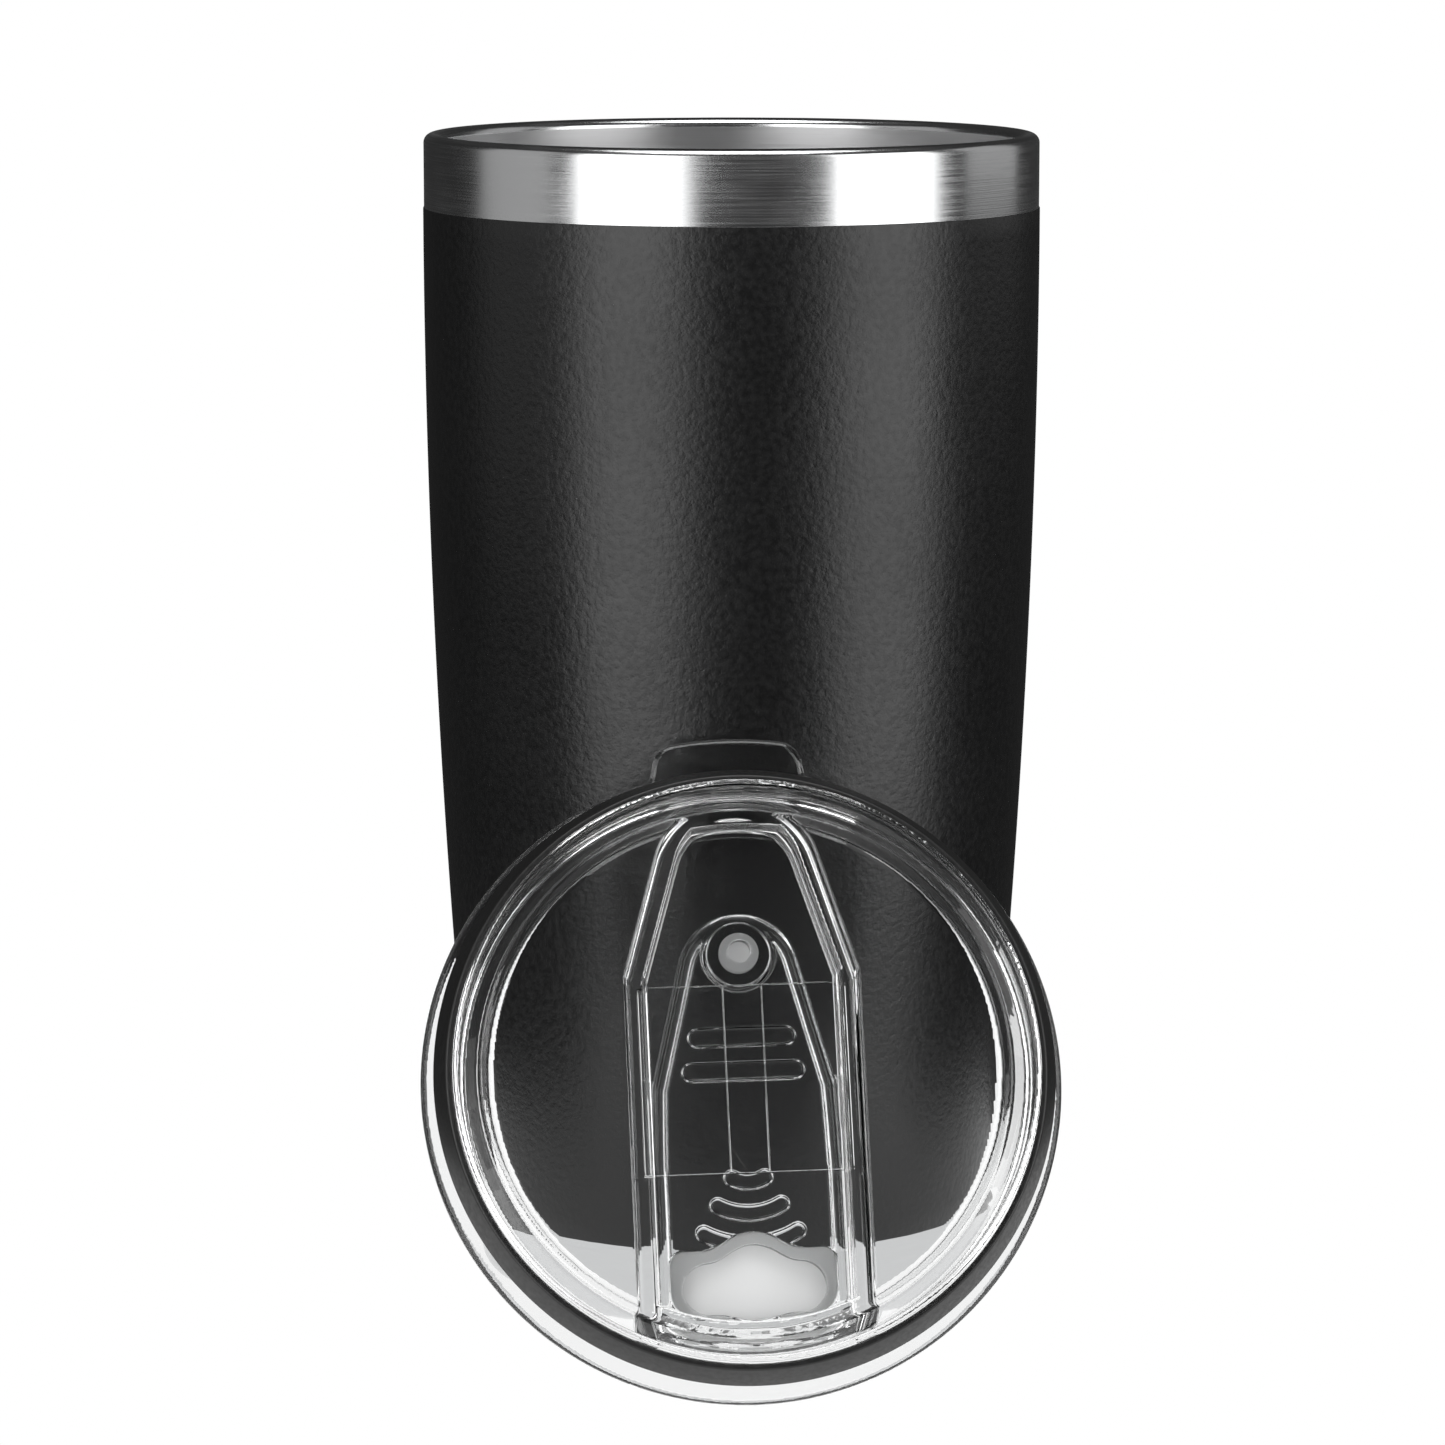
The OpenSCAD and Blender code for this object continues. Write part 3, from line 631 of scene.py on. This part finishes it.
def pad_field(x, y, z):
    """Distance to the drink seal: a border in the slider's seat and a pad that enters the hole."""
    border = prism(seal_border(x, y, 0.08), z, -4.15, -2.65, 0.4)
    return join(border, prism(drink(x, y, -0.08), z, -4.0, -1.5, 0.5), 0.25)


def witness(lines, width, height):
    """Fine raised lines that the mould's inserts leave on the underside of the channel."""
    bm = bmesh.new()
    profile = [(-0.5, 0.3), (-0.5, 0.0), (-0.3, -0.7), (0.0, -1.0), (0.3, -0.7), (0.5, 0.0), (0.5, 0.3)]
    count = len(profile)
    for start, stop in lines:
        along = (Vector(stop) - Vector(start)).normalized()
        across = Vector((-along.y, along.x))
        ends = []
        for end in (start, stop):
            ring = []
            for u, v in profile:
                spot = Vector(end) + across * u * width
                ring.append(bm.verts.new((spot.x * MM, spot.y * MM, (CHANNEL_UNDER_Z + v * height) * MM)))
            ends.append(ring)
        first, second = ends
        for i in range(count):
            n = (i + 1) % count
            bm.faces.new((first[i], first[n], second[n], second[i]))
        bm.faces.new(first)
        bm.faces.new(list(reversed(second)))
    return bm


coarse = 1.0
moulded("lid_clear", lid_field, (-44, -44, -12.2), (44, 49.2, 2.4), 0.3 * coarse,
        "lid", CLEAR, "lid_body")
moulded("slider_clear", slider_field, (-14.2, -34.2, -4.0), (14.2, 22.8, 0.1), 0.2 * coarse,
        "slider", SLIDE, "slider")
moulded("drink_pad", pad_field, (-12, -33.2, -4.4), (12, -19.6, -1.3), 0.2 * coarse,
        "slider", MILKY, "drink_seal")

INSERT_HALF, INSERT_LOW_Y, INSERT_HIGH_Y = 12.6, -13.2, 12.2
INSERT_LINES = [((-INSERT_HALF, y), (INSERT_HALF, y)) for y in (INSERT_HIGH_Y, INSERT_LOW_Y)]
INSERT_LINES += [((x, INSERT_LOW_Y + 0.2), (x, INSERT_HIGH_Y - 0.2)) for x in (-2.7, 2.5)]
marks = new_object("witness_lines", witness(INSERT_LINES, width=0.22, height=0.08),
                   "lid", CLEAR, matrix=STAND)
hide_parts("lid_body")

vent_outline = rounded(
    [(0, -4.15), (2.7, -4.15), (2.7, -3.85), (1.45, -3.85),
     (1.45, -2.8), (2.65, -2.8), (2.65, -2.0), (0, -2.0)],
    [0, 0.12, 0.12, 0, 0, 0.1, 0.35, 0])
plug = new_object("vent_plug", lathe(vent_outline, 64), "slider", MILKY,
                  matrix=STAND @ Matrix.Translation((0, WELL_Y * MM, 0)))
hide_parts("vent_seal")

gasket_outline = rounded(
    [(38.95, -10.85), (40.0, -10.85), (41.65, -6.6), (41.2, -6.3), (39.95, -8.95), (38.95, -8.95)],
    [0.1, 0.4, 0.2, 0.2, 0.3, 0.1])
gasket = new_object("lid_gasket_ring", lathe(gasket_outline), "lid", BLACK, matrix=STAND)
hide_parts("lid_gasket")


# ---- Stage, light and camera ----

def floor_sheet(left, front, right, back):
    """A plain white floor just under the foot."""
    mat = bpy.data.materials.new("table_white")
    mat.use_nodes = True
    tree = mat.node_tree
    tree.nodes.clear()
    emission = add(tree, "ShaderNodeEmission", {"Color": (1, 1, 1, 1), "Strength": 1.0})
    add(tree, "ShaderNodeOutputMaterial", {"Surface": emission.outputs[0]})
    level = -0.0002
    mesh = bpy.data.meshes.new("floor")
    corners = [(left, front, level), (right, front, level), (right, back, level), (left, back, level)]
    mesh.from_pydata(corners, [], [(0, 1, 2, 3)])
    mesh.materials.append(mat)
    obj = bpy.data.objects.new("floor", mesh)
    bpy.context.collection.objects.link(obj)


def panel(name, width, height, radiance, place, turn):
    """A rectangle of light that shows a radiance."""
    light = bpy.data.lights.new(name, "AREA")
    light.shape = "RECTANGLE"
    light.size, light.size_y = width, height
    light.energy = radiance * math.pi * width * height
    obj = bpy.data.objects.new(name, light)
    obj.location, obj.rotation_euler = place, turn
    bpy.context.collection.objects.link(obj)


def softbox(name, azimuth, low, high, width, radiance):
    """An upright panel 0.8 m from the axis that faces it, at an azimuth from the camera's side."""
    a = math.radians(azimuth)
    out = Vector((math.sin(a), -math.cos(a), 0))
    place = out * 0.8 + Vector((0, 0, (low + high) / 2))
    panel(name, width, high - low, radiance, place, (-out).to_track_quat("-Z", "Y").to_euler())


def studio(behind, ambient):
    """A world that is white where it is seen directly or through plastic, and dim as a light."""
    world = bpy.data.worlds.new("studio")
    bpy.context.scene.world = world
    world.use_nodes = True
    tree = world.node_tree
    tree.nodes.clear()
    path = add(tree, "ShaderNodeLightPath")
    bounces = add(tree, "ShaderNodeMath", {0: path.outputs["Diffuse Depth"], 1: path.outputs["Glossy Depth"]},
                  operation="ADD")
    seen = add(tree, "ShaderNodeMath", {0: bounces.outputs[0], 1: 0.5}, operation="LESS_THAN")
    dim, pale = (add(tree, "ShaderNodeBackground", {"Color": (1, 1, 1, 1), "Strength": level})
                 for level in (ambient, behind))
    mix = add(tree, "ShaderNodeMixShader", {0: seen.outputs[0], 1: dim.outputs[0], 2: pale.outputs[0]})
    add(tree, "ShaderNodeOutputWorld", {"Surface": mix.outputs[0]})


floor_sheet(-0.11, -0.15, 0.11, 0.07)
softbox("key_left", -37, -0.2, 0.7, 0.6, 2.6)
softbox("key_right", 58, -0.2, 0.7, 0.62, 2.5)
softbox("fill_left", -86, 0.0, 0.7, 0.5, 0.4)
softbox("fill_right", 112, 0.1, 0.7, 0.5, 0.4)
panel("top", 0.7, 0.6, 4.0, (0.0, -0.25, 0.95), (math.radians(-12), 0, 0))
studio(behind=1.0, ambient=0.03)

camera = bpy.data.objects.new("camera", bpy.data.cameras.new("camera"))
camera.data.lens = 138.4
camera.data.sensor_width = 36.0
camera.data.clip_start, camera.data.clip_end = 0.05, 20.0
camera.location = (-0.00128, -0.793, 0.2061)
camera.rotation_euler = (math.radians(90 - 9.06), 0, 0)
bpy.context.collection.objects.link(camera)
bpy.context.scene.camera = camera
bpy.context.scene.view_settings.view_transform = "Standard"
